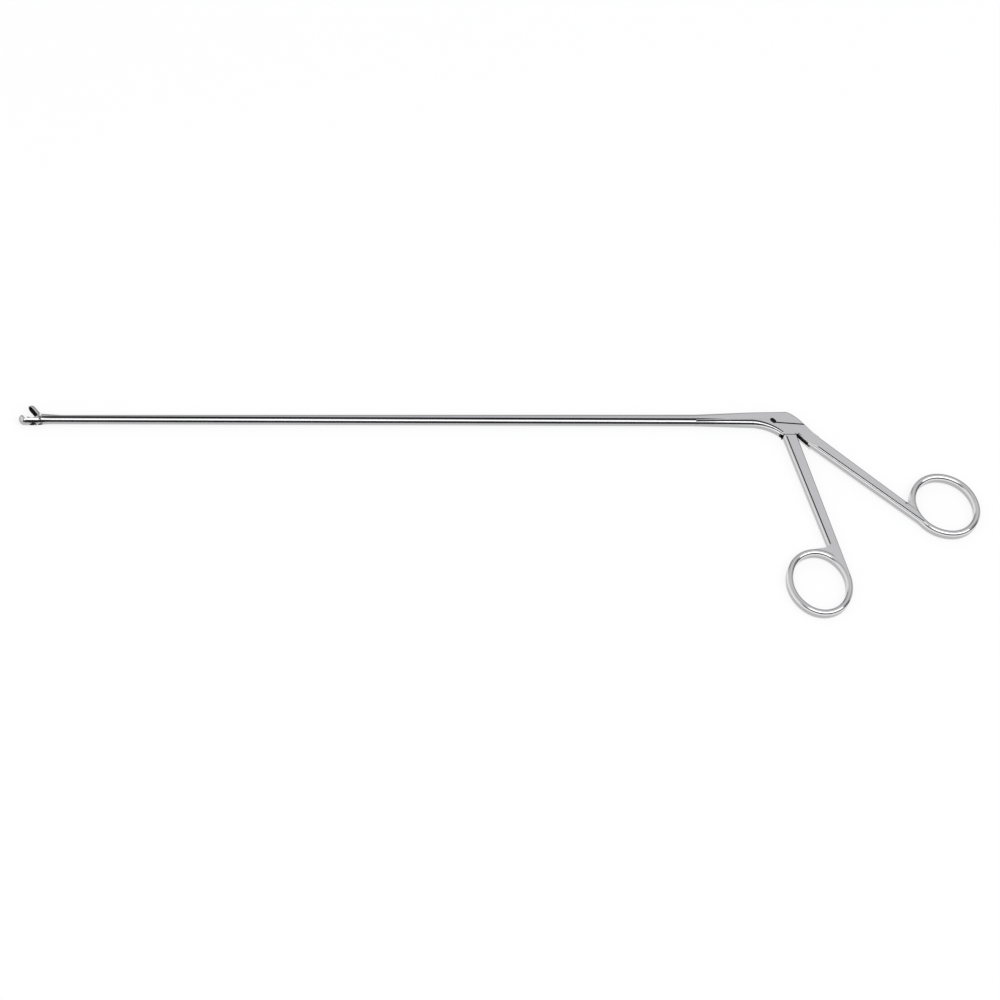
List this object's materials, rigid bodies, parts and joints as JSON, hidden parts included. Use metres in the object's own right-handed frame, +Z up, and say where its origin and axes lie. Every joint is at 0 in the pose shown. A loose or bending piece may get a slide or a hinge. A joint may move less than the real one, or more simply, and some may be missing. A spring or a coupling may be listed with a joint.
{
  "type": "biopsy forceps",
  "caption": "Long slender biopsy forceps: ring handles drive a sliding shaft that closes a hinged cup jaw onto a fixed cup jaw.",
  "frame": {"origin": "where the axis of the handle pivot meets the surface that the forceps lies on, flat on its side", "axes": "+X along the shaft from the jaws towards the handles, +Y from the rings towards the shaft, +Z up out of the resting surface"},
  "size_m": [0.4364, 0.1046, 0.0053],
  "materials": {
    "satin_steel": "satin stainless steel, fine grain along the shaft",
    "polished_steel": "polished stainless steel forging",
    "pin_steel": "ground stainless steel"
  },
  "bodies": {
    "frame": {"lower_shaft": "satin_steel", "rear_handle": "polished_steel", "jaw_pivot_pin": "pin_steel", "handle_pivot_pin": "pin_steel"},
    "slide": {"sliding_shaft": "satin_steel", "jaw_drive_pin": "pin_steel", "handle_drive_pin": "pin_steel", "front_guide_stud": "pin_steel", "rear_guide_stud": "pin_steel"},
    "trigger": {"front_handle": "polished_steel"},
    "jaw": {"upper_jaw": "satin_steel"}
  },
  "joints": [
    {"name": "handle_hinge", "type": "hinge", "parent": "frame", "child": "trigger", "pos_m": [0, 0, 0.00265], "axis": [0, 0, 1], "range_deg": [0, 20]},
    {"name": "shaft_slide", "type": "slide", "parent": "frame", "child": "slide", "axis": [-1, 0, 0], "range_m": [0, 0.0018]},
    {"name": "jaw_hinge", "type": "hinge", "parent": "frame", "child": "jaw", "pos_m": [-0.3459, 0.00347, 0.00265], "axis": [0, 0, 1], "range_deg": [0, 55]}
  ],
  "couplings": [
    {"joint": "shaft_slide", "follows": "handle_hinge", "m_per_rad": 0.0051566},
    {"joint": "jaw_hinge", "follows": "handle_hinge", "ratio": 2.75}
  ]
}
